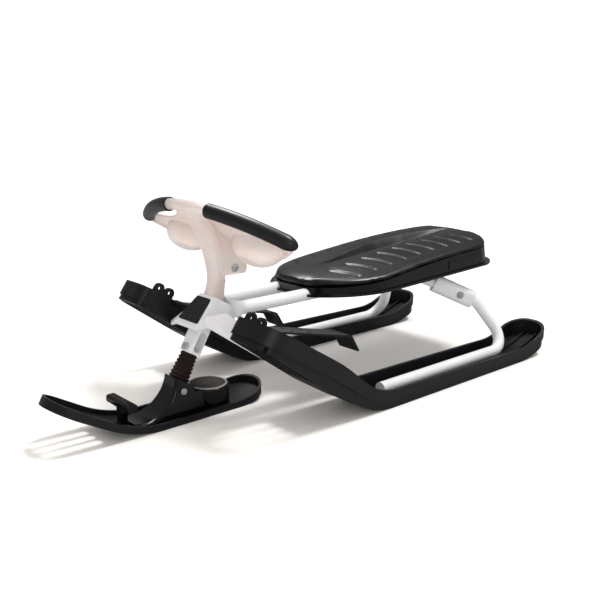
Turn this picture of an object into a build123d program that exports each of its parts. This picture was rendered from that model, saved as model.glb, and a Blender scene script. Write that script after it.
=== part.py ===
# Steerable snow sled: a wheel turns a short front ski, and a tube frame carries the seat and two rear skis.
# +X is forward, +Y the rider's left, +Z up. The origin is on the floor under the middle of the sled.
from build123d import *
import math
import os

# Overall sizes, millimetres
overall_length = 1160.0
overall_width = 520.0
fit_gap = 0.3            # clearance between seated pieces
tail_overrun = 40.0      # ski lines are drawn this far past the tail, and then trimmed

# Rear skis: moulded trays with a high upturned nose
ski_width = 110.0
ski_sole = 5.0           # thickness of the sole
ski_wall = 3.5           # thickness of the rim wall
ski_step = 3.5           # the rim's lip stands out from the wall below it by this
ski_lip = 17.0           # depth of that lip along the flat, and round the nose
ski_bend_lip = 22.0
ski_nose_lip = 32.0
ski_rim = 32.0           # rim height above the sole line along the flat
ski_bend_rim = 38.0      # at the start of the climb, and at its steepest, where the wall is highest
ski_mid_rim = 56.0
ski_nose_rim = 42.0      # rim height round the nose
ski_tail_rim = 40.0
ski_tail_lift = 30.0
ski_tail_run = 90.0
ski_bend_x = 20.0        # where the sole starts to climb
ski_mid_x = 142.0        # where it steepens
ski_mid_z = 74.0
ski_nose_x = 304.0
ski_nose_z = 191.0
ski_bend_radius = 190.0
ski_mid_radius = 500.0
ski_tail_round = 48.0
ski_nose_outer = 52.0    # corner radii of the nose, outboard and inboard
ski_nose_inner = 24.0
slot_width = 25.0        # openings between the ribs of the nose
slot_pitch = 31.0
slot_length = 150.0
slot_tip_margin = 16.0
ski_rib = 3.0            # two ribs along the sole, on the bars between the slots
ski_rib_height = 6.0
eye_outer = 22.0         # tow eyes on the inner rim
eye_bore = 9.0
eye_thick = 9.0
eye_pitch = 27.0
eye_tip_margin = 36.0
eye_lift = 8.0           # middle of the bore above the rim
eye_foot = 5.0           # height of the strip that joins the two eyes
saddle_length = 26.0     # pads in the tray that the leg lies on

# Front ski
front_width = 110.0
front_sole = 5.0
front_wall = 5.0
front_rim = 13.0
front_nose_rim = 17.0
front_tail_rim = 24.0
front_tail_x = 116.0
front_tail_lift = 13.0
front_tail_run = 62.0
front_nose_run = 150.0   # from the bend to the tip
front_nose_z = 84.0
front_bend_radius = 240.0
front_slot_width = 19.0
front_slot_pitch = 27.0
front_slot_length = 105.0
front_end_flat = 2.0     # straight piece left at the middle of the round tail and nose

# Steering axis: leans back at the top, through the head of the frame
rake = 30.5
head_x = 217.0
head_z = 217.0
shaft_diameter = 20.0
shaft_clearance = 0.2
head_tube_diameter = 34.0
head_tube_length = 50.0
fork_depth = 28.0        # front to rear, and across
fork_width = 38.0
fork_length = 66.0
fork_gap = 1.0
fork_plate = 5.0         # thickness of the fork's front and rear plates
fork_window = 42.0       # length of the opening through its sides
fork_bolt = 8.0
fork_bolt_rise = 10.0
bolt_head = 15.0         # across the corners of a hexagon head
bolt_head_height = 5.0
boot_diameter = 42.0     # at the bottom and at the top
boot_top_diameter = 35.0
boot_length = 54.0
boot_ribs = 7
boot_rib_depth = 3.0

# Steering wheel
wheel_tilt = 40.0        # plane of the rim from the horizontal
wheel_bar_x = 272.0
wheel_bar_z = 402.0
wheel_half_width = 238.0
wheel_bow = 82.0         # how far the front bar bows forward
wheel_depth = 170.0      # from the front bar to the lower rim
wheel_bar_diameter = 22.0
wheel_corner = 14.0
wheel_rim_width = 9.0
wheel_rim_height = 15.0
wheel_web = 4.0
bowl_x = 112.0           # middle of the dish in each half of the wheel, in the plane of its rim
bowl_y = 108.0
bowl_size = (66.0, 34.0)
bowl_depth = 36.0
bowl_wall = 3.5
hand_hole_inner = 56.0
hand_hole_end = 52.0     # from the end of the wheel
hand_hole_depth = 26.0
hand_hole_gap = 2.0      # web left under the bar
grip_diameter = 28.0
grip_inner = 62.0
grip_end = 16.0          # from the end of the wheel
grip_round = 2.0
keel_thick = 40.0        # body that runs from the wheel's low edge down to its neck
keel_drop = 38.0
keel_corner = 9.0
column_foot = (38.0, 36.0, 14.0)     # depth, width and corner radius of its sections, going up
column_neck = (32.0, 34.0, 12.0)
column_flare = (24.0, 56.0, 10.0)
column_top = (20.0, 66.0, 9.0)
column_neck_rise = 45.0
column_neck_back = 8.0
column_flare_drop = 55.0
column_flare_back = 40.0
column_top_back = 6.0

# Head bracket
hood_wall = 4.0
hood_top_half = 25.0
hood_bottom_half = 40.0
hood_bottom_z = 172.0
hood_rear_x = 192.0
hood_front_top_x = 232.0
hood_front_bottom_x = 287.0
hood_edge = 4.0          # rounding of the hood's edges
badge_thick = 2.0
badge_length = 56.0
badge_top = 44.0
badge_bottom = 64.0
arm_root_size = (58.0, 20.0)
arm_end_size = (28.0, 12.0)
arm_root = (236.0, 183.0)
arm_end_x = 208.0
arm_end_lift = 14.0      # arm's end above the rear ski's sole line

# Tube frame
tube_diameter = 26.0
tube_y = 44.0
tube_z = 199.0
tube_bend_x = -312.0
leg_knee = (-437.0, 140.0, 127.0)
leg_corner_x = -484.0
leg_front_x = -45.0
tube_seat_height = 9.0   # top of the saddles in the ski tray
knee_radius = 60.0
corner_radius = 42.0
sleeve_size = (42.0, 31.0)
sleeve_start = 0.35
sleeve_end = 0.94
joint_at = 0.6

# Seat
seat_front_x = 30.0
seat_rear_x = -528.0
seat_half_width = 152.0
seat_front_half = 60.0
seat_shoulder_x = -62.0
seat_lip_front_z = 197.0
seat_lip_rear_z = 212.0
seat_top_front_z = 233.0 # top of the pad along its middle
seat_top_middle_z = 267.0
seat_top_rear_z = 280.0
seat_wall = 4.0
seat_draft = 7.0
seat_lip = 6.0
seat_lip_thick = 5.0
seat_rear_taper = 10.0   # each side is this much narrower at the rear
seat_front_round = 88.0
seat_shoulder_round = 185.0
seat_rear_round = 72.0
panel_front_x = -335.0   # bare raised panel on each side of the shell
panel_rear_x = -458.0
panel_low = 9.0
panel_high = 29.0
panel_proud = 1.5
pad_crown = 450.0        # radius of the pad's crowned top, across
shell_crown = 900.0
pad_inset = 10.0
pad_thick = 19.0         # along the middle
pad_round = 7.0
channel_width = 34.0
channel_depth = 9.0
channel_front = 60.0     # from the seat's front and rear edges to the ends of the channel
channel_rear = 40.0
channel_tip = 2.0
bulkhead_thick = 8.0
bulkheads = (-70.0, -285.0)

# Reel housing and its pieces on the front ski
housing_width = 66.0
housing_front = 10.0     # from the front ski's bend
housing_toe = 12.0
housing_ramp_sag = 8.0
housing_edge = 7.0       # rounding of the edges along the ramp
housing_brim = 2.0       # stands out past the boot
reel_x = 236.0           # round reel box behind the boot
reel_top_z = 46.0
reel_rim = 4.0           # wall left round the disc
reel_edge = 3.0
disc_diameter = 78.0
disc_thick = 3.0
disc_recess = 2.0
disc_dish = 1.0          # the disc's middle is sunk by this inside its own rim
disc_dish_rim = 4.0
ski_bolt_x = 310.0       # bolt through the housing, below the boot
ski_bolt_z = 53.0
ski_bolt = 8.0
ski_bolt_head = 13.0
ski_bolt_dome = 3.5
handle_width = 80.0
handle_size = (20.0, 15.0)
handle_back = 2.0        # from the front ski's bend
handle_z = 52.0
handle_neck = (14.0, 16.0)

# Foot brakes
brake_share = 0.51       # of the room between the hood and the ski
brake_thick = 4.0
brake_front = (210.0, 176.0)
brake_rear = (5.0, 128.0)
brake_claw_end = (-45.0, 78.0)
brake_gap = 3.0
brake_pin = 8.0
brake_knuckle = 15.0
brake_heel = (22.0, 4.0) # from the tread's rear end to the top of the claw
brake_bend = 60.0
brake_heel_bend = 20.0
brake_hole = 9.0         # four holes through the tread
brake_hole_pitch = (46.0, 28.0)
claw_tooth = 14.0        # pitch of the claw's teeth
claw_depth = 12.0

# Places worked out from the sizes above
half_length = overall_length / 2
ski_y = (overall_width - ski_width) / 2
ski_inner_y = ski_y - ski_width / 2
grip_outer = wheel_half_width - grip_end
hand_hole_outer = wheel_half_width - hand_hole_end
brake_width = brake_share * (ski_inner_y - hood_bottom_half)
front_bend_x = half_length - front_nose_run
housing_front_x = front_bend_x - housing_front
handle_x = front_bend_x - handle_back
axis = Vector(-math.sin(math.radians(rake)), 0, math.cos(math.radians(rake)))
head = Vector(head_x, 0, head_z)
long_reach = 3 * overall_length
head_slope = math.tan(math.radians(rake))
hood_top_z = head_z + (hood_front_top_x - head_x) * head_slope


def along(distance):
    """Point on the steering axis, measured up from the top of the head."""
    return head + axis * distance


def axis_plane(distance):
    """Plane square to the steering axis, its x towards the front."""
    return Plane(along(distance), x_dir=(axis.Z, 0, -axis.X), z_dir=axis)


def mitred(points, lifts):
    """Corners of an open XZ line, each shifted to its left by its own lift."""
    moved = []
    for i, (x, z) in enumerate(points):
        legs = []
        for a, b in ((i - 1, i), (i, i + 1)):
            if a >= 0 and b < len(points):
                step = Vector(points[b][0] - points[a][0], points[b][1] - points[a][1])
                step = step.normalized()
                legs.append(Vector(-step.Y, step.X))
        first, second = legs[0], legs[-1]
        mitre = (first + second) * (1 / (1 + first.dot(second)))
        moved.append((x + mitre.X * lifts[i], z + mitre.Y * lifts[i]))
    return moved


def band(points, radii, low, high):
    """XZ face between two lines that run above a ski's sole line."""
    def line(lifts):
        rounds = [r - lift for r, lift in zip(radii, lifts[1:-1])]
        return FilletPolyline(*mitred(points, lifts), radius=rounds)
    lower, upper = line(low), line(high)
    loop = lower + upper + Line(lower @ 0, upper @ 0) + Line(lower @ 1, upper @ 1)
    return Plane.XZ * make_face(loop)


def nose_plane(points):
    """Plane on the climbing sole, its origin at the tip and its x towards the tip."""
    (x0, z0), (x1, z1) = points[-2], points[-1]
    return Plane((x1, 0, z1), x_dir=(x1 - x0, 0, z1 - z0), z_dir=(z0 - z1, 0, x1 - x0))


def blunt_end(tip, back, half, rounds):
    """Strip that ends at the tip with two rounded corners, left and right."""
    points = [(back, half), (tip, half), (tip, -half), (back, -half)]
    edge = FilletPolyline(*points, radius=rounds)
    return make_face(edge + Line(edge @ 1, edge @ 0))


def ends(points, width, tail_round, nose_rounds, inset):
    """Prism that rounds the tail in plan and the nose in its own slope."""
    half = width / 2 - inset
    tail = blunt_end(points[0][0] + tail_overrun + inset, long_reach, half, [tail_round - inset] * 2)
    nose = blunt_end(-inset, -long_reach, half, [r - inset for r in nose_rounds])
    return extrude(tail, long_reach, both=True) & extrude(nose_plane(points) * nose, long_reach, both=True)


def tray(points, radii, rims, width, sole, wall, tail_round, nose_rounds, step=0, lips=None):
    """Moulded ski: a sole with a rim wall all round, and a lip that stands out by a step at the wall's top."""
    count = len(points)
    lip_low = [rim - lip for rim, lip in zip(rims, lips or [0] * count)]
    shell = extrude(band(points, radii, [0] * count, lip_low), width / 2 - step, both=True)
    shell &= ends(points, width, tail_round, nose_rounds, step)
    if lips:
        edge = extrude(band(points, radii, lip_low, rims), width / 2, both=True)
        shell += edge & ends(points, width, tail_round, nose_rounds, 0)
    above = [rim + ski_nose_rim for rim in rims]
    inset = step + wall
    hollow = extrude(band(points, radii, [sole] * count, above), width / 2 - inset, both=True)
    return shell - (hollow & ends(points, width, tail_round, nose_rounds, inset))


def nose_slots(points, sole, pitch, width, length, margin):
    """Three openings side by side through the climbing sole, with ribs left between them."""
    slots = [Pos(-margin - length / 2, i * pitch) * SlotOverall(length, width) for i in (-1, 0, 1)]
    return extrude(nose_plane(points) * Sketch(children=slots), 2 * sole, both=True)


def tube(points, radii, diameter):
    """Round bar along straight runs and tangent bends."""
    path = FilletPolyline(*points, radius=radii)
    return sweep(Plane(path @ 0, z_dir=path % 0) * Circle(diameter / 2), path=path)


def mirrored(shape):
    """The right-hand twin of a left-hand piece."""
    return mirror(shape, Plane.XZ)


# Rear ski
ski_line = [
    (-half_length - tail_overrun, ski_tail_lift * (1 + tail_overrun / ski_tail_run)),
    (-half_length + ski_tail_run, 0),
    (ski_bend_x, 0),
    (ski_mid_x, ski_mid_z),
    (ski_nose_x, ski_nose_z),
]
ski_radii = [ski_bend_radius, ski_bend_radius, ski_mid_radius]
ski_rims = [ski_tail_rim, ski_rim, ski_bend_rim, ski_mid_rim, ski_nose_rim]
ski_lips = [ski_lip, ski_lip, ski_bend_lip, ski_nose_lip, ski_nose_lip]
ski_slope = nose_plane(ski_line)
ski_climb = math.dist(ski_line[-2], ski_line[-1])


def on_slope(back, up):
    """XZ place on the climbing nose: so far back from the tip, so far above the sole line."""
    place = ski_slope.from_local_coords(Vector(-back, 0, up))
    return place.X, place.Z


def make_rear_ski():
    corners = [ski_nose_outer, ski_nose_inner]
    ski = tray(ski_line, ski_radii, ski_rims, ski_width, ski_sole, ski_wall, ski_tail_round, corners,
               ski_step, ski_lips)
    ski -= nose_slots(ski_line, ski_sole, slot_pitch, slot_width, slot_length, slot_tip_margin)
    rib_face = band(ski_line, ski_radii, [0] * len(ski_line), [ski_sole + ski_rib_height] * len(ski_line))
    inside = ends(ski_line, ski_width, ski_tail_round, corners, ski_step)
    for side in (0.5, -0.5):
        ski += Pos(0, side * slot_pitch) * extrude(rib_face, ski_rib / 2, both=True) & inside
    ski = Pos(0, ski_y, 0) * ski
    saddle_height = tube_seat_height - ski_sole
    for x in (leg_front_x - saddle_length, leg_corner_x / 2, leg_corner_x + 2 * saddle_length):
        ski += Pos(x, ski_y, ski_sole + saddle_height / 2) * Box(saddle_length, saddle_length, saddle_height)
    return ski


def rim_above(back):
    """Height of the rim above the climbing sole, so far back from the tip."""
    return ski_nose_rim + (ski_mid_rim - ski_nose_rim) * back / ski_climb


def eye_place(i):
    """XZ middle of a tow eye's bore."""
    back = eye_tip_margin + i * eye_pitch
    return on_slope(back, rim_above(back) + eye_lift)


def eye_spot(i):
    """Middle of a tow eye's bore, with the bore's line as z."""
    x, z = eye_place(i)
    return Pos(x, ski_inner_y + eye_thick / 2, z) * Rot(90, 0, 0)


def make_tow_eyes():
    """Two ring eyes on one strip that sits on the inner rim of the nose."""
    middle = eye_tip_margin + eye_pitch / 2
    strip = Box(eye_pitch + eye_outer, eye_thick, 2 * eye_foot)
    eyes = ski_slope * Pos(-middle, ski_inner_y + eye_thick / 2, rim_above(middle)) * strip
    for i in (0, 1):
        eyes += eye_spot(i) * Cylinder(eye_outer / 2, eye_thick)
    for i in (0, 1):
        eyes -= eye_spot(i) * Cylinder(eye_bore / 2, eye_thick)
    rim_tops = [rim + fit_gap for rim in ski_rims]
    return eyes - extrude(band(ski_line, ski_radii, [-ski_nose_rim] * len(ski_line), rim_tops), overall_width, both=True)


# Tube frame
leg_z = tube_seat_height + fit_gap + tube_diameter / 2
tube_start = (hood_rear_x - fit_gap, tube_y, tube_z)
tube_bend = (tube_bend_x, tube_y, tube_z)
bend_v, knee_v = Vector(*tube_bend), Vector(*leg_knee)
joint_v = bend_v + (knee_v - bend_v) * joint_at


def make_seat_tube():
    return tube([tube_start, tube_bend, tuple(joint_v)], [knee_radius], tube_diameter)


def make_rear_leg():
    start = joint_v + (knee_v - bend_v).normalized() * fit_gap
    corner = (leg_corner_x, ski_y, leg_z)
    front = (leg_front_x, ski_y, leg_z)
    return tube([tuple(start), leg_knee, corner, front], [corner_radius, corner_radius], tube_diameter)


def make_sleeve():
    run = knee_v - bend_v
    start = bend_v + run * sleeve_start
    upright = Plane(start, x_dir=run.cross(Vector(0, 0, 1)), z_dir=run)
    outline = upright * (RectangleRounded(sleeve_size[1], sleeve_size[0], sleeve_size[1] / 2 - 1))
    outline -= upright * Circle(tube_diameter / 2 + fit_gap)
    return extrude(outline, run.length * (sleeve_end - sleeve_start))


# Head bracket
def make_head_bracket():
    def profile(inset):
        points = [
            (hood_rear_x + inset, hood_bottom_z),
            (hood_front_bottom_x - inset * 1.4, hood_bottom_z),
            (hood_front_top_x - inset * 0.4, hood_top_z - inset * 1.4),
            (hood_rear_x + inset, head_z + (hood_rear_x + inset - head_x) * head_slope - inset * 1.2),
        ]
        return Plane.XZ * make_face(Polyline(*points, close=True))

    def front(inset):
        points = [
            (-hood_bottom_half + inset, hood_bottom_z),
            (hood_bottom_half - inset, hood_bottom_z),
            (hood_top_half - inset, hood_top_z),
            (-hood_top_half + inset, hood_top_z),
        ]
        return Plane.YZ * make_face(Polyline(*points, close=True))

    hood = extrude(profile(0), hood_bottom_half, both=True) & extrude(front(0), half_length)
    hood = fillet([e for e in hood.edges() if e.center().Z > hood_bottom_z + hood_wall], hood_edge)
    hollow = extrude(profile(hood_wall), hood_bottom_half, both=True) & extrude(front(hood_wall), half_length)
    hood -= hollow
    tail_z = tube_z - tube_diameter / 2 - hood_wall
    plate = RectangleRounded(2 * tube_y + tube_diameter + 2 * hood_wall, 2 * (tube_z - tail_z), tube_diameter / 2)
    hood += extrude(Plane((hood_rear_x, 0, tube_z), x_dir=(0, 1, 0), z_dir=(1, 0, 0)) * plate, hood_wall)
    for side in (1, -1):
        root_y = hood_bottom_half - hood_wall
        end_z = ski_nose_z + (arm_end_x - ski_nose_x) * (ski_nose_z - ski_mid_z) / (ski_nose_x - ski_mid_x)
        root = Plane((arm_root[0], side * root_y, arm_root[1]), x_dir=(1, 0, 0), z_dir=(0, side, 0))
        tip = Plane((arm_end_x, side * (ski_inner_y - fit_gap), end_z + arm_end_lift), x_dir=(1, 0, 0),
                    z_dir=(0, side, 0))
        hood += loft([
            root * RectangleRounded(*arm_root_size, arm_root_size[1] / 3),
            tip * RectangleRounded(*arm_end_size, arm_end_size[1] / 3),
        ])
    hood += extrude(axis_plane(-head_tube_length) * Circle(head_tube_diameter / 2), head_tube_length)
    bore = axis_plane(0) * Circle(shaft_diameter / 2 + shaft_clearance)
    return hood - extrude(bore, head_tube_length * 2, both=True)


def make_badge_plate():
    step = Vector(hood_front_bottom_x - hood_front_top_x, 0, hood_bottom_z - hood_top_z).normalized()
    top = Vector(hood_front_top_x, 0, hood_top_z) + step * hood_wall * 2
    face = Plane(top, x_dir=step, z_dir=(-step.Z, 0, step.X))
    outline = make_face(Polyline((0, -badge_top / 2), (0, badge_top / 2), (badge_length, badge_bottom / 2),
                                 (badge_length, -badge_bottom / 2), close=True))
    return extrude(face * fillet(outline.vertices(), hood_wall), badge_thick)


# Steering assembly
fork_top = -head_tube_length - fork_gap
fork_bottom = fork_top - fork_length
boot_bottom = fork_bottom - boot_length


def make_shaft():
    column_socket = 2 * shaft_diameter
    return extrude(axis_plane(fork_top) * Circle(shaft_diameter / 2), head_tube_length + fork_gap + column_socket)


forward = Vector(axis.Z, 0, -axis.X)
fork_bolt_plane = Plane(along(fork_bottom + fork_bolt_rise), x_dir=(0, 1, 0), z_dir=forward)


def make_fork():
    """Closed strap of plate that hangs from the shaft, open through its sides."""
    block = RectangleRounded(fork_depth, fork_width, fork_plate)
    fork = extrude(axis_plane(fork_bottom) * block, fork_length)
    side = Plane(along(fork_bottom + fork_plate + fork_window / 2), x_dir=axis, z_dir=(0, 1, 0))
    fork -= extrude(side * SlotOverall(fork_window, fork_depth - 2 * fork_plate), fork_width, both=True)
    return fork - extrude(fork_bolt_plane * Circle(fork_bolt / 2 + fit_gap), fork_depth, both=True)


def make_fork_bolt():
    reach = fork_depth / 2 + fit_gap
    head = RegularPolygon(bolt_head / 2, 6)
    bolt = extrude(fork_bolt_plane * Circle(fork_bolt / 2), reach + bolt_head_height / 2, both=True)
    bolt += extrude(fork_bolt_plane.offset(reach) * head, bolt_head_height)
    return bolt + extrude(fork_bolt_plane.offset(-reach) * head, -bolt_head_height)


def make_boot():
    pitch = boot_length / boot_ribs

    def outer(height):
        return (boot_diameter + (boot_top_diameter - boot_diameter) * height / boot_length) / 2

    points = [(0, 0)]
    for i in range(boot_ribs):
        low, crest = i * pitch, (i + 0.5) * pitch
        points += [(outer(low) - boot_rib_depth, low), (outer(crest), crest)]
    points += [(outer(boot_length) - boot_rib_depth, boot_length), (0, boot_length)]
    section = Plane.XZ * make_face(Polyline(*points, close=True))
    return axis_plane(boot_bottom) * revolve(section, Axis.Z)


front_line = [
    (front_tail_x - tail_overrun, front_tail_lift * (1 + tail_overrun / front_tail_run)),
    (front_tail_x + front_tail_run, 0),
    (front_bend_x, 0),
    (half_length, front_nose_z),
]
front_radii = [front_bend_radius, front_bend_radius]


def front_sole_block():
    """What the front ski's sole takes up, with the seating gap above it."""
    count = len(front_line)
    top = [front_sole + fit_gap] * count
    return extrude(band(front_line, front_radii, [-front_nose_z] * count, top), front_width, both=True)


ski_bolt_spot = Pos(ski_bolt_x, 0, ski_bolt_z) * Rot(90, 0, 0)


def housing_half(z):
    """Half width of the housing, which narrows from the ski up to the boot."""
    top = along(boot_bottom).Z
    top_half = boot_diameter / 2 + housing_brim
    return housing_width / 2 + (top_half - housing_width / 2) * (z - front_sole) / (top - front_sole)


def make_housing():
    """Moulding that ramps up from the ski to the boot, with the round reel box behind it."""
    top = along(boot_bottom)
    across = forward * (boot_diameter / 2 + housing_brim)
    front, back = top + across, top - across
    floor = front_sole
    ramp_toe = floor + housing_toe
    outline = Polyline(
        (front.X, front.Z), (back.X, back.Z), (back.X, reel_top_z), (reel_x, reel_top_z), (reel_x, floor),
        (housing_front_x, floor), (housing_front_x, ramp_toe))
    middle = ((front.X + housing_front_x) / 2 - housing_ramp_sag, ramp_toe + housing_brim)
    ramp = ThreePointArc((housing_front_x, ramp_toe), middle, (front.X, front.Z))
    housing = extrude(Plane.XZ * make_face(outline + ramp), housing_width / 2, both=True)
    low, high = housing_half(floor), housing_half(front.Z)
    flanks = Polyline((-low, floor), (low, floor), (high, front.Z), (-high, front.Z), close=True)
    housing &= extrude(Plane.YZ * make_face(flanks), long_reach)
    ridges = [e for e in housing.edges() if e.geom_type != GeomType.LINE]
    housing = fillet(ridges, housing_edge)
    reel = Cylinder(disc_diameter / 2 + reel_rim, reel_top_z - floor)
    reel = fillet(reel.edges().sort_by(Axis.Z)[-1], reel_edge)
    housing += Pos(reel_x, 0, (reel_top_z + floor) / 2) * reel
    housing -= Pos(reel_x, 0, reel_top_z) * Cylinder(disc_diameter / 2 + fit_gap, 2 * disc_recess)
    housing -= ski_bolt_spot * Cylinder(ski_bolt / 2 + fit_gap, 2 * housing_width)
    return housing - front_sole_block()


def make_disc():
    low = reel_top_z - disc_recess + fit_gap
    disc = Cylinder(disc_diameter / 2, disc_thick)
    disc = fillet(disc.edges().sort_by(Axis.Z)[-1], disc_dish)
    disc -= Pos(0, 0, disc_thick / 2) * Cylinder(disc_diameter / 2 - disc_dish_rim, 2 * disc_dish)
    return Pos(reel_x, 0, low + disc_thick / 2) * disc


def make_ski_bolt():
    """Bolt across the housing with a low dome at each end."""
    reach = housing_half(ski_bolt_z - ski_bolt_head / 2) + fit_gap
    dome = Cylinder(ski_bolt_head / 2, ski_bolt_dome)
    dome = fillet(dome.edges().sort_by(Axis.Z)[-1], ski_bolt_dome * 0.6)
    bolt = Cylinder(ski_bolt / 2, 2 * reach) + Pos(0, 0, reach + ski_bolt_dome / 2) * dome
    bolt += Pos(0, 0, -reach - ski_bolt_dome / 2) * Rot(180, 0, 0) * dome
    return ski_bolt_spot * bolt


def make_tow_handle():
    width, height = handle_size
    bar = Pos(handle_x, 0, handle_z) * Rot(90, 0, 0) * RectangleRounded(width, height, height / 3)
    handle = extrude(bar, handle_width / 2, both=True)
    floor = front_sole + fit_gap
    neck = Pos(handle_x, 0, (handle_z + floor) / 2) * Box(*handle_neck, handle_z - floor)
    return handle + neck - front_sole_block()


def make_front_ski():
    rims = [front_tail_rim, front_rim, front_rim, front_nose_rim]
    half = (front_width - front_end_flat) / 2
    ski = tray(front_line, front_radii, rims, front_width, front_sole, front_wall, half, [half, half])
    margin = slot_tip_margin
    return ski - nose_slots(front_line, front_sole, front_slot_pitch, front_slot_width, front_slot_length, margin)


# Steering wheel, drawn in the plane of its rim: x to the left, y back and down from the front bar
tilt = math.radians(wheel_tilt)
wheel_plane = Plane((wheel_bar_x, 0, wheel_bar_z), x_dir=(0, 1, 0), z_dir=(-math.sin(tilt), 0, math.cos(tilt)))
bar_radius = (wheel_half_width ** 2 + wheel_bow ** 2) / (2 * wheel_bow)


def bar_at(x):
    """Point of the front bar's arc."""
    return x, bar_radius - math.sqrt(bar_radius ** 2 - x ** 2)


def bar_arc(start, stop):
    return wheel_plane * ThreePointArc(bar_at(start), bar_at((start + stop) / 2), bar_at(stop))


def rod(arc, section):
    return sweep(Plane(arc @ 0, z_dir=arc % 0) * section, path=arc)


def wheel_lens(inset):
    """Outline of the rim, drawn in by an inset: two arcs with rounded ends."""
    low_radius = (wheel_half_width ** 2 + (wheel_depth - wheel_bow) ** 2) / (2 * (wheel_depth - wheel_bow))
    low_centre = wheel_depth - low_radius
    front, low = bar_radius - inset, low_radius - inset
    y = (low ** 2 - low_centre ** 2 - front ** 2 + bar_radius ** 2) / (2 * (bar_radius - low_centre))
    x = math.sqrt(front ** 2 - (y - bar_radius) ** 2)
    loop = ThreePointArc((-x, y), (0, inset), (x, y)) + ThreePointArc((x, y), (0, wheel_depth - inset), (-x, y))
    face = make_face(loop)
    return fillet(face.vertices(), wheel_corner - inset)


def bowl(grow):
    """Hollow of the left dish, grown by a wall: three ellipses down from the plane of the rim."""
    levels = ((1.0, 0.0), (0.8, 0.62), (0.36, 1.0))      # size and depth, as shares
    width, height = bowl_size
    return loft([
        wheel_plane * Pos(bowl_x, bowl_y, wheel_web / 2 - share * (bowl_depth + grow))
        * Ellipse(width * size + grow, height * size + grow) for size, share in levels])


def make_wheel():
    web = wheel_lens(wheel_rim_width / 2)
    for side in (1, -1):
        near = bar_at(side * hand_hole_inner)
        far = bar_at(side * hand_hole_outer)
        half = bar_at(side * (hand_hole_inner + hand_hole_outer) / 2)
        below = wheel_bar_diameter / 2 + hand_hole_gap
        top = [(p[0], p[1] + below) for p in (near, half, far)]
        dip = (half[0], half[1] + below + hand_hole_depth)
        web -= make_face(ThreePointArc(*top) + ThreePointArc(top[2], dip, top[0]))
    ring = wheel_lens(0) - wheel_lens(wheel_rim_width)
    wheel = extrude(wheel_plane * ring, wheel_rim_height / 2, both=True)
    wheel += extrude(wheel_plane * web, wheel_web / 2, both=True)
    wheel += bowl(bowl_wall)
    wheel += mirrored(bowl(bowl_wall))
    wheel -= bowl(0)
    wheel -= mirrored(bowl(0))
    bar_end = wheel_half_width - wheel_corner
    wheel += rod(bar_arc(-bar_end, bar_end), Circle(wheel_bar_diameter / 2))
    wheel += make_column()
    sleeve = Circle(grip_diameter / 2 + fit_gap) - Circle(wheel_bar_diameter / 2)
    for side in (1, -1):
        wheel -= rod(bar_arc(side * (grip_inner - fit_gap), side * (grip_outer + fit_gap)), sleeve)
    return wheel


def make_column():
    base_gap = Vector(0, 0, 0) + axis * fit_gap
    foot = Plane(head + base_gap, x_dir=(axis.Z, 0, -axis.X), z_dir=axis)
    neck = (head_x - column_neck_back, head_z + column_neck_rise)
    levels = [
        (neck, column_neck),
        ((wheel_bar_x - column_flare_back, wheel_bar_z - column_flare_drop), column_flare),
        ((wheel_bar_x - column_top_back, wheel_bar_z), column_top),
    ]
    sections = [foot * RectangleRounded(*column_foot)]
    for (x, z), section in levels:
        sections.append(Pos(x, 0, z) * RectangleRounded(*section))
    column = loft(sections)
    low = wheel_plane.from_local_coords(Vector(0, wheel_depth - wheel_rim_width, 0))
    high = wheel_plane.from_local_coords(Vector(0, wheel_bar_diameter, 0))
    keel = make_face(Polyline((low.X, low.Z), (high.X, high.Z), neck, (low.X, low.Z - keel_drop), close=True))
    keel = extrude(Plane.XZ * keel, keel_thick / 2, both=True)
    column += fillet(keel.edges().filter_by(Axis.Y), keel_corner)
    socket = extrude(axis_plane(0) * Circle(shaft_diameter / 2 + fit_gap), 2 * shaft_diameter + fit_gap, both=True)
    return column - socket


def make_grip():
    ring = Circle(grip_diameter / 2) - Circle(wheel_bar_diameter / 2 + fit_gap)
    grip = rod(bar_arc(grip_inner, grip_outer), ring)
    rims = [e for e in grip.edges().filter_by(GeomType.CIRCLE) if abs(e.radius - grip_diameter / 2) < fit_gap]
    return fillet(rims, grip_round)


# Seat
def seat_outline(inset):
    """Plan of the seat: blunt front, flaring shoulders, square rear with round corners."""
    half, front = seat_half_width - inset, seat_front_half - inset
    left = [
        (seat_front_x - inset, front),
        (seat_shoulder_x - inset * 0.4, half),
        (seat_rear_x + inset, half - seat_rear_taper),
    ]
    points = left + [(x, -y) for x, y in reversed(left)]
    radii = [seat_front_round, seat_shoulder_round, seat_rear_round]
    radii += reversed(radii)
    return make_face(FilletPolyline(*points, radius=radii, close=True))


def lip_slab(low, high):
    """Everything between two heights above the lip's underside, which slopes from front to rear."""
    points = [
        (seat_front_x, seat_lip_front_z + low), (seat_front_x, seat_lip_front_z + high),
        (seat_rear_x, seat_lip_rear_z + high), (seat_rear_x, seat_lip_rear_z + low)]
    return extrude(Plane.XZ * make_face(Polyline(*points, close=True)), seat_half_width * 2, both=True)


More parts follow.
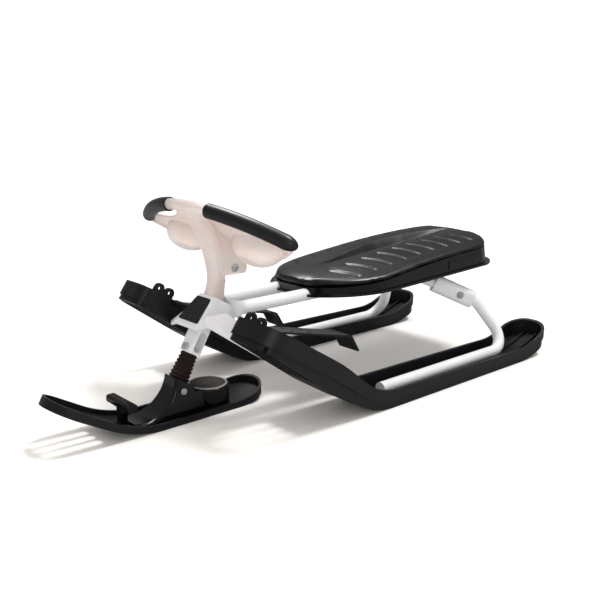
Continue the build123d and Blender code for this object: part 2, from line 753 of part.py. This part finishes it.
def barrel(crown, drop):
    """Everything under the seat's top, which is bowed from front to rear and crowned across, lowered by a drop."""
    front, rear = Vector(seat_front_x, 0, seat_top_front_z), Vector(seat_rear_x, 0, seat_top_rear_z)
    middle = (front + rear) * 0.5
    chord = (front - rear).length
    up = Vector(rear.Z - front.Z, 0, front.X - rear.X).normalized()
    rise = seat_top_middle_z - middle.Z
    bow = (chord ** 2 / 4 + rise ** 2) / (2 * rise)
    centre = middle + up * (rise - bow)
    half = 1.5 * seat_half_width
    radius = crown - drop
    top = bow - drop
    sag = radius - math.sqrt(radius ** 2 - half ** 2)
    base = top - sag - half
    face = make_face(
        ThreePointArc((-half, top - sag), (0, top), (half, top - sag))
        + Polyline((half, top - sag), (half, base), (-half, base), (-half, top - sag)))
    sweep_angle = math.degrees(2 * chord / bow)
    slab = revolve(Plane(centre, x_dir=(0, 1, 0), z_dir=up.cross(Vector(0, -1, 0))) * face,
                   Axis(tuple(centre), (0, 1, 0)), sweep_angle)
    return slab.rotate(Axis(tuple(centre), (0, 1, 0)), -sweep_angle / 2)


def make_seat_shell():
    floor = Pos(0, 0, seat_lip_front_z)
    height = seat_top_rear_z - seat_lip_front_z
    above_lip = lip_slab(0, height)
    body = extrude(floor * seat_outline(seat_lip), height, taper=seat_draft) & above_lip
    body &= barrel(shell_crown, pad_thick)
    hollow = extrude(floor * seat_outline(seat_lip + seat_wall), height, taper=seat_draft) & above_lip
    hollow &= barrel(shell_crown, pad_thick + seat_wall)
    shell = body - hollow
    lip = extrude(floor * (seat_outline(0) - seat_outline(seat_lip + seat_wall)), height)
    shell += lip & lip_slab(0, seat_lip_thick)
    proud = extrude(floor * seat_outline(seat_lip - panel_proud), height, taper=seat_draft)
    proud -= extrude(floor * seat_outline(seat_lip + seat_wall / 2), height, taper=seat_draft)
    room = Box(panel_front_x - panel_rear_x, 4 * seat_half_width, 4 * height)
    shell += proud & lip_slab(panel_low, panel_high) & Pos((panel_front_x + panel_rear_x) / 2, 0, seat_lip_front_z) * room
    for x in bulkheads:
        beam = Pos(x, 0, seat_lip_front_z + height / 2) * Box(bulkhead_thick, 2 * seat_half_width, height)
        shell += beam & hollow
    for side in (1, -1):
        tunnel = Cylinder(tube_diameter / 2 + fit_gap, long_reach)
        shell -= Pos(0, side * tube_y, tube_z) * Rot(0, 90, 0) * tunnel
    return shell


def make_seat_pad():
    floor = Pos(0, 0, seat_lip_front_z)
    height = seat_top_rear_z - seat_lip_front_z
    pad = extrude(floor * seat_outline(pad_inset), height) & barrel(pad_crown, 0)
    pad = fillet(pad.faces().sort_by(Axis.Z)[-1].edges(), pad_round)
    pad -= barrel(shell_crown, pad_thick - fit_gap)
    length = seat_front_x - seat_rear_x
    middle = (seat_front_x + seat_rear_x) / 2
    channel = make_face(FilletPolyline(
        (seat_front_x - channel_front, 0), (middle, channel_width / 2), (seat_rear_x + channel_rear, 0),
        (middle, -channel_width / 2), radius=[channel_tip, length / 2, channel_tip, length / 2], close=True))
    groove = extrude(floor * channel, 2 * height)
    return pad - (groove - barrel(pad_crown, channel_depth))


# Foot brakes: a tread plate hinged on the ski's inner wall, with a claw at its rear end
brake_y = ski_inner_y - brake_gap - brake_width / 2
hinge = Pos(brake_front[0], brake_y, brake_front[1]) * Rot(90, 0, 0)


def make_brake():
    heel = (brake_rear[0] - brake_heel[0], brake_rear[1] - brake_heel[1])
    line = [brake_claw_end, heel, brake_rear, brake_front]
    face = band(line, [brake_heel_bend, brake_bend], [0] * 4, [brake_thick] * 4)
    plate = Pos(0, brake_y, 0) * extrude(face, brake_width / 2, both=True)
    middle = ((brake_rear[0] + brake_front[0]) / 2, (brake_rear[1] + brake_front[1]) / 2)
    lean = math.degrees(math.atan2(brake_front[1] - brake_rear[1], brake_front[0] - brake_rear[0]))
    for x in (-0.5, 0.5):
        for y in (-0.5, 0.5):
            hole = Pos(x * brake_hole_pitch[0], y * brake_hole_pitch[1]) * Cylinder(brake_hole / 2, 4 * brake_knuckle)
            plate -= Pos(middle[0], brake_y, middle[1]) * Rot(0, -lean, 0) * hole
    claw = Plane((brake_claw_end[0], brake_y, brake_claw_end[1]), x_dir=(0, 1, 0),
                 z_dir=(brake_claw_end[1] - heel[1], 0, heel[0] - brake_claw_end[0]))
    count = round(brake_width / claw_tooth)
    pitch = brake_width / count
    for i in range(count + 1):
        notch = Pos((i - count / 2) * pitch, 0) * make_face(Polyline(
            (-pitch / 2, -claw_depth), (pitch / 2, -claw_depth), (pitch / 2, 0), (0, claw_depth), (-pitch / 2, 0),
            close=True))
        plate -= extrude(claw * notch, brake_knuckle, both=True)
    plate += hinge * Cylinder(brake_knuckle / 2, brake_width)
    return plate - hinge * Cylinder(brake_pin / 2 + fit_gap, brake_width)


def make_brake_pin():
    reach = brake_gap - fit_gap
    return hinge * Pos(0, 0, -reach / 2) * Cylinder(brake_pin / 2, brake_width + reach)


def build():
    parts = {
        "head_bracket": make_head_bracket(),
        "badge_plate": make_badge_plate(),
        "steering_shaft": make_shaft(),
        "fork": make_fork(),
        "fork_bolt": make_fork_bolt(),
        "suspension_boot": make_boot(),
        "reel_housing": make_housing(),
        "reel_disc": make_disc(),
        "ski_bolt": make_ski_bolt(),
        "tow_handle": make_tow_handle(),
        "front_ski": make_front_ski(),
        "steering_wheel": make_wheel(),
        "seat_shell": make_seat_shell(),
        "seat_pad": make_seat_pad(),
    }
    pairs = {
        "rear_ski": make_rear_ski(),
        "tow_eyes": make_tow_eyes(),
        "seat_tube": make_seat_tube(),
        "rear_leg": make_rear_leg(),
        "leg_sleeve": make_sleeve(),
        "grip": make_grip(),
        "brake": make_brake(),
        "brake_pin": make_brake_pin(),
    }
    for name, left in pairs.items():
        parts[name + "_left"] = left
        parts[name + "_right"] = mirrored(left)
    return parts


os.makedirs("parts", exist_ok=True)
for name, shape in build().items():
    export_step(shape, f"parts/{name}.step")
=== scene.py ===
# A steerable snow sled: wheel and front ski turn together, a tube frame carries the seat and two rear skis.
# The imported solids are the frame; this script gives each its finish and adds the small pieces.
import bpy
import math
from mathutils import Matrix, Vector


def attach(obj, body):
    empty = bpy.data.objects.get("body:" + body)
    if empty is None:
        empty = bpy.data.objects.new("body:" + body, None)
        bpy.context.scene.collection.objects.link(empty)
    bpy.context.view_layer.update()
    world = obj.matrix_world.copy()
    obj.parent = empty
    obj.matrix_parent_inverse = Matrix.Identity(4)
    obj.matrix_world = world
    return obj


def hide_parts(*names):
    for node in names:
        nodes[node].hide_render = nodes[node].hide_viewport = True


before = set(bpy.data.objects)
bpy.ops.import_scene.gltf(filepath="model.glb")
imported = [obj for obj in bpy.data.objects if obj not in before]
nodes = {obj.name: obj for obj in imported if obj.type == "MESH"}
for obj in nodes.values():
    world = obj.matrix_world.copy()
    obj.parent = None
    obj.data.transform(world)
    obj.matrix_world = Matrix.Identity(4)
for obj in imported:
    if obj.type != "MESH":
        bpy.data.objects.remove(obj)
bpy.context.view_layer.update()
scene = bpy.context.scene
scene.view_settings.view_transform = "Standard"

# Camera: eye height just above the seat, ahead of the sled on the rider's left.
# The focal length is in pixels of the 600 pixel frame, so the lens follows from the sensor.
eye = Vector((1.127, 1.295, 0.61))
line_of_sight = Vector((-0.639, -0.729, -0.245))
focal_pixels = 831.0
frame_pixels = 600.0
camera_data = bpy.data.cameras.new("photo_camera")
camera_data.sensor_width = 36.0
camera_data.lens = focal_pixels / frame_pixels * camera_data.sensor_width
camera = bpy.data.objects.new("photo_camera", camera_data)
camera.location = eye
camera.rotation_euler = line_of_sight.to_track_quat("-Z", "Y").to_euler()
scene.collection.objects.link(camera)
scene.camera = camera


# Powder-coated steel: tubes, legs, sleeves, fork and head bracket.
# Sprayed as dry powder and baked, which leaves a smooth white skin with a faint orange-peel ripple.
def linear(code):
    """Linear colour from an sRGB hex code."""
    values = [int(code[i:i + 2], 16) / 255 for i in (1, 3, 5)]
    return [v / 12.92 if v <= 0.04045 else ((v + 0.055) / 1.055) ** 2.4 for v in values] + [1.0]


def add_node(tree, kind, links=None, **settings):
    """Adds a node, sets its properties and sockets, and links other nodes' outputs to its inputs."""
    node = tree.nodes.new(kind)
    for key, value in settings.items():
        if hasattr(node, key):
            setattr(node, key, value)
        else:
            node.inputs[key.replace("_", " ")].default_value = value
    for socket, output in (links or {}).items():
        tree.links.new(output, node.inputs[socket])
    return node


def start_finish(name):
    """New material with its shader and the piece's own coordinates."""
    finish = bpy.data.materials.new(name)
    finish.use_nodes = True
    tree = finish.node_tree
    shader = tree.nodes["Principled BSDF"]
    place = add_node(tree, "ShaderNodeTexCoord").outputs["Object"]
    return finish, tree, shader, place


def coat(names, finish):
    """Puts one finish on solids of the frame."""
    for name in names:
        slots = nodes[name].data.materials
        slots.clear()
        slots.append(finish)


def both(*names):
    return [f"{name}_{side}" for name in names for side in ("left", "right")]


powder_coat, tree, shader, place = start_finish("white_powder_coat")
ripple = add_node(tree, "ShaderNodeTexNoise", {"Vector": place}, Scale=420.0, Detail=2.0)
grime = add_node(tree, "ShaderNodeTexNoise", {"Vector": place}, Scale=9.0, Detail=5.0)
tint = add_node(tree, "ShaderNodeValToRGB", {"Fac": grime.outputs["Fac"]})
tint.color_ramp.elements[0].position = 0.3
tint.color_ramp.elements[0].color = linear("#dfe1e4")
tint.color_ramp.elements[1].position = 0.75
tint.color_ramp.elements[1].color = linear("#eceef0")
peel = add_node(tree, "ShaderNodeBump", {"Height": ripple.outputs["Fac"]}, Strength=0.05, Distance=0.0005)
tree.links.new(tint.outputs["Color"], shader.inputs["Base Color"])
tree.links.new(peel.outputs["Normal"], shader.inputs["Normal"])
shader.inputs["Roughness"].default_value = 0.28
shader.inputs["Coat Weight"].default_value = 0.3
shader.inputs["Coat Roughness"].default_value = 0.12
coat(["head_bracket", "fork"] + both("seat_tube", "rear_leg", "leg_sleeve"), powder_coat)

# Rear skis, front ski, tow eyes and foot brakes: black polyethylene mouldings.
# The mould's fine spark texture breaks up the shine, and snow and grit leave it a little grey.
moulded_black, tree, shader, place = start_finish("moulded_polyethylene_black")
spark = add_node(tree, "ShaderNodeTexNoise", {"Vector": place}, Scale=900.0, Detail=3.0)
wear = add_node(tree, "ShaderNodeTexNoise", {"Vector": place}, Scale=14.0, Detail=6.0)
shade = add_node(tree, "ShaderNodeValToRGB", {"Fac": wear.outputs["Fac"]})
shade.color_ramp.elements[0].color = linear("#0c0c10")
shade.color_ramp.elements[1].color = linear("#17171c")
dullness = add_node(tree, "ShaderNodeMapRange", {"Value": wear.outputs["Fac"]}, To_Min=0.3, To_Max=0.46)
grain = add_node(tree, "ShaderNodeBump", {"Height": spark.outputs["Fac"]}, Strength=0.12, Distance=0.0004)
tree.links.new(shade.outputs["Color"], shader.inputs["Base Color"])
tree.links.new(dullness.outputs["Result"], shader.inputs["Roughness"])
tree.links.new(grain.outputs["Normal"], shader.inputs["Normal"])
shader.inputs["Specular IOR Level"].default_value = 0.4
coat(["front_ski"] + both("rear_ski", "tow_eyes", "brake"), moulded_black)

# Seat shell, reel housing and tow handle: glossy black ABS from a polished mould.
# A hard clear shine with a faint swirl of fine scratches.
gloss_black, tree, shader, place = start_finish("polished_abs_black")
swirl = add_node(tree, "ShaderNodeTexNoise", {"Vector": place}, Scale=60.0, Detail=8.0)
shine = add_node(tree, "ShaderNodeMapRange", {"Value": swirl.outputs["Fac"]}, To_Min=0.1, To_Max=0.22)
tone = add_node(tree, "ShaderNodeValToRGB", {"Fac": swirl.outputs["Fac"]})
tone.color_ramp.elements[0].color = linear("#060607")
tone.color_ramp.elements[1].color = linear("#0b0b0c")
tree.links.new(tone.outputs["Color"], shader.inputs["Base Color"])
tree.links.new(shine.outputs["Result"], shader.inputs["Roughness"])
coat(["seat_shell", "reel_housing", "tow_handle"], gloss_black)

# Plate on the hood: a separate satin black moulding, clipped on and left bare.
# Its surface has the same fine spark texture as the skis but is a shade glossier.
plate_black, tree, shader, place = start_finish("satin_abs_plate")
speck = add_node(tree, "ShaderNodeTexNoise", {"Vector": place}, Scale=700.0, Detail=2.0)
satin = add_node(tree, "ShaderNodeMapRange", {"Value": speck.outputs["Fac"]}, To_Min=0.22, To_Max=0.34)
depth = add_node(tree, "ShaderNodeValToRGB", {"Fac": speck.outputs["Fac"]})
depth.color_ramp.elements[0].color = linear("#101012")
depth.color_ramp.elements[1].color = linear("#1b1b1d")
tree.links.new(depth.outputs["Color"], shader.inputs["Base Color"])
tree.links.new(satin.outputs["Result"], shader.inputs["Roughness"])
coat(["badge_plate"], plate_black)

# Steering shaft, cross bolts and brake pins: turned steel, bright zinc plated.
# Zinc settles in soft crystals, so the grey is uneven and the shine is broad.
zinc_plate, tree, shader, place = start_finish("zinc_plated_steel")
crystals = add_node(tree, "ShaderNodeTexVoronoi", {"Vector": place}, Scale=260.0)
grey = add_node(tree, "ShaderNodeValToRGB", {"Fac": crystals.outputs["Distance"]})
grey.color_ramp.elements[0].color = linear("#d6d8da")
grey.color_ramp.elements[1].color = linear("#b0b2b4")
tree.links.new(grey.outputs["Color"], shader.inputs["Base Color"])
shader.inputs["Metallic"].default_value = 0.6
shader.inputs["Roughness"].default_value = 0.34
coat(["steering_shaft", "fork_bolt", "ski_bolt"] + both("brake_pin"), zinc_plate)

# Suspension boot: a ribbed rubber bellows, dark maroon, clamped between fork and housing.
# Rubber from a rough mould is matt, with a bloom that is paler on the ribs.
boot_rubber, tree, shader, place = start_finish("maroon_bellows_rubber")
bloom = add_node(tree, "ShaderNodeTexNoise", {"Vector": place}, Scale=120.0, Detail=4.0)
maroon = add_node(tree, "ShaderNodeValToRGB", {"Fac": bloom.outputs["Fac"]})
maroon.color_ramp.elements[0].color = linear("#1b0a0c")
maroon.color_ramp.elements[1].color = linear("#2d1314")
tree.links.new(maroon.outputs["Color"], shader.inputs["Base Color"])
shader.inputs["Roughness"].default_value = 0.6
coat(["suspension_boot"], boot_rubber)

# Reel disc: stamped aluminium, lacquered, pressed into the housing and left bare.
# The dished middle is lacquered dark, and the rim round it is bare metal.
disc_middle = (0.236, 0.0, 0.0)
bright_rim_from = 0.035
disc_metal, tree, shader, place = start_finish("lacquered_aluminium_disc")
marks = add_node(tree, "ShaderNodeTexNoise", {"Vector": place}, Scale=300.0, Detail=2.0)
silver = add_node(tree, "ShaderNodeValToRGB", {"Fac": marks.outputs["Fac"]})
silver.color_ramp.elements[0].color = linear("#a39c98")
silver.color_ramp.elements[1].color = linear("#c9c3bf")
flat = add_node(tree, "ShaderNodeVectorMath", {0: place}, operation="MULTIPLY")
flat.inputs[1].default_value = (1, 1, 0)
radius = add_node(tree, "ShaderNodeVectorMath", {0: flat.outputs["Vector"]}, operation="DISTANCE")
radius.inputs[1].default_value = disc_middle
on_rim = add_node(tree, "ShaderNodeMath", {0: radius.outputs["Value"]}, operation="GREATER_THAN")
on_rim.inputs[1].default_value = bright_rim_from
lacquer = add_node(tree, "ShaderNodeMixRGB", {
    "Fac": on_rim.outputs["Value"], "Color2": silver.outputs["Color"]}, Color1=linear("#454140"))
tree.links.new(lacquer.outputs["Color"], shader.inputs["Base Color"])
shader.inputs["Metallic"].default_value = 0.35
shader.inputs["Roughness"].default_value = 0.38
coat(["reel_disc"], disc_metal)

# Steering wheel: pale blush polypropylene, moulded in one piece and a little see-through.
# Light goes into it and comes out warm, so thick ribs look pinker than the thin dish.
blush_plastic, tree, shader, place = start_finish("blush_polypropylene")
cloud = add_node(tree, "ShaderNodeTexNoise", {"Vector": place}, Scale=18.0, Detail=3.0)
blush = add_node(tree, "ShaderNodeValToRGB", {"Fac": cloud.outputs["Fac"]})
blush.color_ramp.elements[0].position = 0.3
blush.color_ramp.elements[0].color = linear("#f7e8e2")
blush.color_ramp.elements[1].position = 0.7
blush.color_ramp.elements[1].color = linear("#fdf7f5")
tree.links.new(blush.outputs["Color"], shader.inputs["Base Color"])
shader.inputs["Roughness"].default_value = 0.32
shader.inputs["Transmission Weight"].default_value = 0.5
shader.inputs["IOR"].default_value = 1.3
shader.inputs["Subsurface Weight"].default_value = 0.2
shader.inputs["Subsurface Radius"].default_value = (0.006, 0.0042, 0.0036)
shader.inputs["Subsurface Scale"].default_value = 1.0
coat(["steering_wheel"], blush_plastic)

# Grips: black thermoplastic rubber moulded over the wheel's front bar.
# Soft to the touch, so it is matt with a low sheen.
soft_grip, tree, shader, place = start_finish("overmoulded_grip_rubber")
skin = add_node(tree, "ShaderNodeTexNoise", {"Vector": place}, Scale=1100.0, Detail=2.0)
charcoal = add_node(tree, "ShaderNodeValToRGB", {"Fac": skin.outputs["Fac"]})
charcoal.color_ramp.elements[0].color = linear("#0e0f12")
charcoal.color_ramp.elements[1].color = linear("#18191d")
pores = add_node(tree, "ShaderNodeBump", {"Height": skin.outputs["Fac"]}, Strength=0.1, Distance=0.0003)
tree.links.new(charcoal.outputs["Color"], shader.inputs["Base Color"])
tree.links.new(pores.outputs["Normal"], shader.inputs["Normal"])
shader.inputs["Roughness"].default_value = 0.36
coat(both("grip"), soft_grip)

# Grip caps: the rubber runs on past each grip and tapers round the wheel's end.
# Half a ball, drawn out to a blunt point and laid along the bar's end.
cap_radius = 0.0144
cap_length = 0.028
cap_seat = Vector((0.2201, 0.2182, 0.3584))
cap_along = Vector((-0.44, 0.8185, -0.3693))
bpy.ops.object.select_all(action="DESELECT")
bpy.ops.mesh.primitive_uv_sphere_add(segments=32, ring_count=20, radius=cap_radius, location=(0, 0, 0))
cap = bpy.context.object
cap.name = "grip_cap_left"
bpy.ops.object.mode_set(mode="EDIT")
bpy.ops.mesh.select_all(action="SELECT")
bpy.ops.mesh.bisect(plane_co=(0, 0, 0.0001), plane_no=(0, 0, 1), clear_inner=True, use_fill=True)
bpy.ops.mesh.select_all(action="SELECT")
bpy.ops.transform.resize(value=(1, 1, cap_length / cap_radius), center_override=(0, 0, 0))
bpy.ops.object.mode_set(mode="OBJECT")
bpy.ops.object.shade_smooth_by_angle(angle=math.radians(50))
cap.data.materials.append(soft_grip)
twin = bpy.data.objects.new("grip_cap_right", cap.data.copy())
scene.collection.objects.link(twin)
for piece, side in ((cap, 1), (twin, -1)):
    flip = Vector((1, side, 1))
    turn = (cap_along * flip).to_track_quat("Z", "X").to_matrix().to_4x4()
    piece.data.transform(Matrix.Translation(cap_seat * flip) @ turn)
    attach(piece, "steering")

# Seat pad: closed-cell foam under a tough matt skin, moulded in two lobes with a leaf-shaped channel.
# It starts as a remeshed copy of its solid, with the solid's own channel smoothed away.
# The lobes, the channel and the louvred chevrons are then pressed in.
pad_voxel = 0.005
smooth_share = 0.5
soften_passes = 14
level_passes = 70
middle_half = 0.056
top_from = 0.45
top_blend = 0.4
lobe_y = 0.066
lobe_half = 0.05
lobe_rise = 0.005
leaf_front = -0.06
leaf_rear = -0.508
leaf_half = 0.034
leaf_depth = 0.013
leaf_skew = 1.25
leaf_fullness = 0.8
leaf_steepness = 1.7
chevron_count = 9
chevron_first = -0.045
chevron_pitch = 0.0475
chevron_inner = 0.046
chevron_outer = 0.11
chevron_sweep = 0.036
chevron_depth = 0.0028
chevron_slope = 0.009
chevron_wall = 0.0026
chevron_fade = 0.006
pad = bpy.data.objects.new("seat_pad_foam", nodes["seat_pad"].data.copy())
scene.collection.objects.link(pad)
bpy.ops.object.select_all(action="DESELECT")
pad.select_set(True)
bpy.context.view_layer.objects.active = pad
pad.data.remesh_voxel_size = pad_voxel
bpy.ops.object.voxel_remesh()
soften = pad.modifiers.new("soften", "SMOOTH")
soften.factor = smooth_share
soften.iterations = soften_passes
bpy.ops.object.modifier_apply(modifier="soften")
middle = pad.vertex_groups.new(name="middle")
crown = [v.index for v in pad.data.vertices if abs(v.co.y) < middle_half and v.normal.z > 0.5]
middle.add(crown, 1.0, "REPLACE")
level = pad.modifiers.new("level", "SMOOTH")
level.factor = smooth_share
level.iterations = level_passes
level.vertex_group = "middle"
bpy.ops.object.modifier_apply(modifier="level")
pad.vertex_groups.clear()
refine = pad.modifiers.new("refine", "SUBSURF")
refine.levels = 1
bpy.ops.object.modifier_apply(modifier="refine")
reach = chevron_outer - chevron_inner
length = math.hypot(reach, chevron_sweep)
uprights = [vertex.normal.z for vertex in pad.data.vertices]
for vertex, upright in zip(pad.data.vertices, uprights):
    facing = max(0.0, min(1.0, (upright - top_from) / top_blend))
    if facing == 0.0:
        continue
    x, y = vertex.co.x, abs(vertex.co.y)
    along = (leaf_front - x) / (leaf_front - leaf_rear)
    lift = 0.0
    if 0.0 < along < 1.0:
        width = leaf_half * math.sin(math.pi * along ** leaf_skew) ** leaf_fullness
        swell = math.sin(math.pi * along) ** 0.5
        lift += lobe_rise * swell * max(0.0, 1 - ((y - lobe_y) / lobe_half) ** 2)
        across = max(0.0, 1 - y / max(width, 0.002))
        lift -= leaf_depth * min(1.0, leaf_steepness * across) * swell
    for i in range(chevron_count):
        ahead = x - (chevron_first - i * chevron_pitch)
        out = y - chevron_inner
        run = (out * reach - ahead * chevron_sweep) / length
        forward = (ahead * reach + out * chevron_sweep) / length
        ends = min(run, length - run) / chevron_fade
        if ends <= 0 or forward < -chevron_wall or forward > chevron_slope:
            continue
        fall = 1 - forward / chevron_slope if forward >= 0 else 1 + forward / chevron_wall
        lift -= chevron_depth * min(1.0, ends) * fall
    vertex.co.z += lift * facing
bpy.ops.object.shade_smooth()
foam_skin, tree, shader, place = start_finish("moulded_foam_skin")
leather = add_node(tree, "ShaderNodeTexNoise", {"Vector": place}, Scale=520.0, Detail=4.0)
rubbed = add_node(tree, "ShaderNodeTexNoise", {"Vector": place}, Scale=11.0, Detail=5.0)
ink = add_node(tree, "ShaderNodeValToRGB", {"Fac": rubbed.outputs["Fac"]})
ink.color_ramp.elements[0].color = linear("#070708")
ink.color_ramp.elements[1].color = linear("#101012")
sheen = add_node(tree, "ShaderNodeMapRange", {"Value": rubbed.outputs["Fac"]}, To_Min=0.26, To_Max=0.4)
creases = add_node(tree, "ShaderNodeBump", {"Height": leather.outputs["Fac"]},
                   Strength=0.12, Distance=0.0004)
tree.links.new(ink.outputs["Color"], shader.inputs["Base Color"])
tree.links.new(sheen.outputs["Result"], shader.inputs["Roughness"])
tree.links.new(creases.outputs["Normal"], shader.inputs["Normal"])
pad.data.materials.clear()
pad.data.materials.append(foam_skin)
coat(["seat_pad"], foam_skin)
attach(pad, "frame")
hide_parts("seat_pad")

# Dome-head bolts: one each side of the wheel's neck, one on the outer face of each leg sleeve.
# Turned steel with a washer collar and a hexagon socket, modelled once standing on its collar and copied.
bolt_radius = 0.0065
collar_radius = 0.0085
collar_height = 0.0012
dome_height = 0.0042
socket_radius = 0.0026
socket_depth = 0.0022
dome_wall = 0.55
dome_steps = ((0.16, 0.28), (0.26, 0.17))
mirror = Vector((1, -1, 1))
neck_seat = Vector((0.178, 0.0206, 0.274))
neck_out = Vector((0, 1, 0))
sleeve_middle = Vector((-0.4037, 0.1144, 0.1462))
sleeve_half = 0.016
sleeve_out = Vector((0.609, 0.793, 0.0))
bpy.ops.object.select_all(action="DESELECT")
bpy.ops.mesh.primitive_cylinder_add(
    vertices=24, radius=collar_radius, depth=collar_height, location=(0, 0, 0))
bolt = bpy.context.object
bolt.name = "neck_bolt_left"
bpy.ops.object.mode_set(mode="EDIT")
bpy.ops.mesh.select_mode(type="FACE")
bpy.ops.mesh.select_all(action="DESELECT")
bpy.ops.object.mode_set(mode="OBJECT")
for face in bolt.data.polygons:
    face.select = face.normal.z > 0.9
bpy.ops.object.mode_set(mode="EDIT")
bpy.ops.mesh.inset(thickness=collar_radius - bolt_radius)
bpy.ops.mesh.extrude_region_move(TRANSFORM_OT_translate={"value": (0, 0, dome_height * dome_wall)})
for inward, rise in dome_steps:
    bpy.ops.mesh.inset(thickness=bolt_radius * inward, depth=dome_height * rise)
crown_radius = bolt_radius * (1 - sum(inward for inward, rise in dome_steps))
bpy.ops.mesh.inset(thickness=crown_radius - socket_radius)
bpy.ops.mesh.extrude_region_move(TRANSFORM_OT_translate={"value": (0, 0, -socket_depth)})
bpy.ops.object.mode_set(mode="OBJECT")
bpy.ops.object.shade_smooth_by_angle(angle=math.radians(32))
bolt.data.materials.append(zinc_plate)
sleeve_seat = sleeve_middle + sleeve_out * sleeve_half
seats = {
    "neck_bolt_left": ("steering", neck_seat, neck_out),
    "neck_bolt_right": ("steering", neck_seat * mirror, neck_out * mirror),
    "sleeve_bolt_left": ("frame", sleeve_seat, sleeve_out),
    "sleeve_bolt_right": ("frame", sleeve_seat * mirror, sleeve_out * mirror),
}
shape = bolt.data
for name, (body, seat, out) in seats.items():
    if name != bolt.name:
        copy = bpy.data.objects.new(name, shape.copy())
        scene.collection.objects.link(copy)
    else:
        copy = bolt
        copy.data = shape.copy()
    copy.data.transform(Matrix.Translation(seat) @ out.to_track_quat("Z", "X").to_matrix().to_4x4())
    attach(copy, body)

# Studio floor: white card that reads as pure white to the camera but keeps the sled's soft shadow.
# It is lit evenly, so only what the sled hides from the sky and the sun falls below white.
# Gloss sees it as a greyer card, so that black plastic stays black.
floor_size = 30.0
bpy.ops.object.select_all(action="DESELECT")
bpy.ops.mesh.primitive_plane_add(size=floor_size, location=(0, 0, 0))
floor = bpy.context.object
floor.name = "studio_floor"
white_card = bpy.data.materials.new("white_card")
white_card.use_nodes = True
floor.data.materials.append(white_card)
tree = white_card.node_tree
shader = tree.nodes["Principled BSDF"]
shader.inputs["Base Color"].default_value = linear("#f7f5f2")
shader.inputs["Roughness"].default_value = 1.0
shader.inputs["Specular IOR Level"].default_value = 0.0
rays = add_node(tree, "ShaderNodeLightPath")
dim_card = add_node(tree, "ShaderNodeBsdfDiffuse", Color=linear("#8a8a8c"))
mirrored = add_node(tree, "ShaderNodeMixShader", {
    "Fac": rays.outputs["Is Glossy Ray"], 1: shader.outputs["BSDF"], 2: dim_card.outputs["BSDF"]})
tree.links.new(mirrored.outputs["Shader"], tree.nodes["Material Output"].inputs["Surface"])

# Light: an overcast white sky, a soft sun from the right rear, and softboxes that draw the highlights.
# The edge softbox shows only in gloss, as bright lines along rims and round edges.
# The sky is pure white to the camera and through clear plastic, softer as light and dimmer in gloss.
sky_light = 0.8
sky_gloss = 0.22
sun_strength = 2.0
sun_angle = 13.0
sun_travel = Vector((0.36, -0.14, -0.92))
world = bpy.data.worlds.new("studio_world")
world.use_nodes = True
scene.world = world
tree = world.node_tree
rays = add_node(tree, "ShaderNodeLightPath")
background = tree.nodes["Background"]
background.inputs["Color"].default_value = linear("#fffdfa")
gloss = add_node(tree, "ShaderNodeMapRange", {"Value": rays.outputs["Is Glossy Ray"]},
                 To_Min=sky_light, To_Max=sky_gloss)
tree.links.new(gloss.outputs["Result"], background.inputs["Strength"])
bright = add_node(tree, "ShaderNodeBackground", Color=linear("#ffffff"), Strength=1.2)
straight = add_node(tree, "ShaderNodeMath", {
    0: rays.outputs["Is Camera Ray"], 1: rays.outputs["Is Transmission Ray"]}, operation="MAXIMUM")
seen = add_node(tree, "ShaderNodeMixShader", {
    "Fac": straight.outputs["Value"], 1: background.outputs["Background"], 2: bright.outputs["Background"]})
tree.links.new(seen.outputs["Shader"], tree.nodes["World Output"].inputs["Surface"])
sun_data = bpy.data.lights.new("soft_sun", "SUN")
sun_data.energy = sun_strength
sun_data.angle = math.radians(sun_angle)
sun = bpy.data.objects.new("soft_sun", sun_data)
sun.rotation_euler = sun_travel.to_track_quat("-Z", "Y").to_euler()
scene.collection.objects.link(sun)
lamps = {
    "top_softbox": ((-0.5, -0.6, 1.9), (-0.1, 0.0, 0.2), 0.9, 7.0),
    "side_softbox": ((1.3, 2.2, 1.2), (0.0, 0.0, 0.15), 1.0, 6.0),
    "edge_softbox": ((-0.3, -0.9, 1.9), (0.0, 0.0, 0.15), 0.7, 26.0),
}
for name, (spot, target, size, power) in lamps.items():
    lamp_data = bpy.data.lights.new(name, "AREA")
    lamp_data.size = size
    lamp_data.energy = power
    lamp = bpy.data.objects.new(name, lamp_data)
    lamp.location = spot
    lamp.visible_diffuse = name != "edge_softbox"
    lamp.rotation_euler = (Vector(target) - Vector(spot)).to_track_quat("-Z", "Y").to_euler()
    scene.collection.objects.link(lamp)
